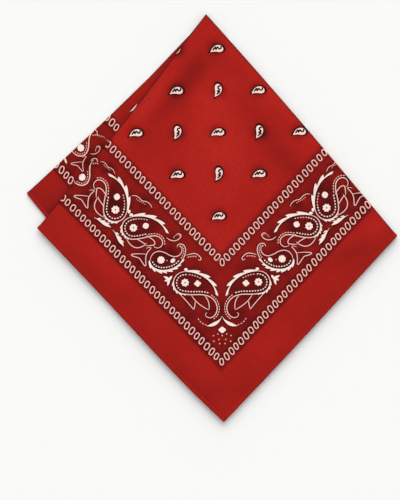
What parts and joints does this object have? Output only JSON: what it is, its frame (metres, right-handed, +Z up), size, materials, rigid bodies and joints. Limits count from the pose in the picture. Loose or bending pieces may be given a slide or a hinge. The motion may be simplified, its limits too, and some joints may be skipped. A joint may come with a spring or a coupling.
{
  "type": "folded paisley bandana",
  "caption": "Square printed cotton bandana folded in quarters and lying flat, with rolled hems and a paisley border.",
  "frame": {"origin": "on the surface the cloth rests on, under the middle of its outline", "axes": "+Z up, out of the pile; -Y towards the free corner, where the four cloth corners lie together; +X towards the corner between the long fold and the hems"},
  "size_m": [0.382, 0.4208, 0.0082],
  "materials": {
    "printed_cotton": "matt printed plain-weave cotton",
    "rolled_hem": "matt cotton, rolled and stitched"
  },
  "bodies": {
    "root": {"front_quarter": "printed_cotton", "inner_quarters": "printed_cotton", "back_strip": "printed_cotton", "under_quarter": "printed_cotton", "right_fold": "printed_cotton", "front_left_fold": "printed_cotton", "back_left_fold": "printed_cotton", "front_left_hem": "rolled_hem", "front_right_hem": "rolled_hem", "second_left_hem": "rolled_hem", "second_right_hem": "rolled_hem", "third_left_hem": "rolled_hem", "third_right_hem": "rolled_hem", "under_left_hem": "rolled_hem", "under_right_hem": "rolled_hem"}
  },
  "joints": []
}
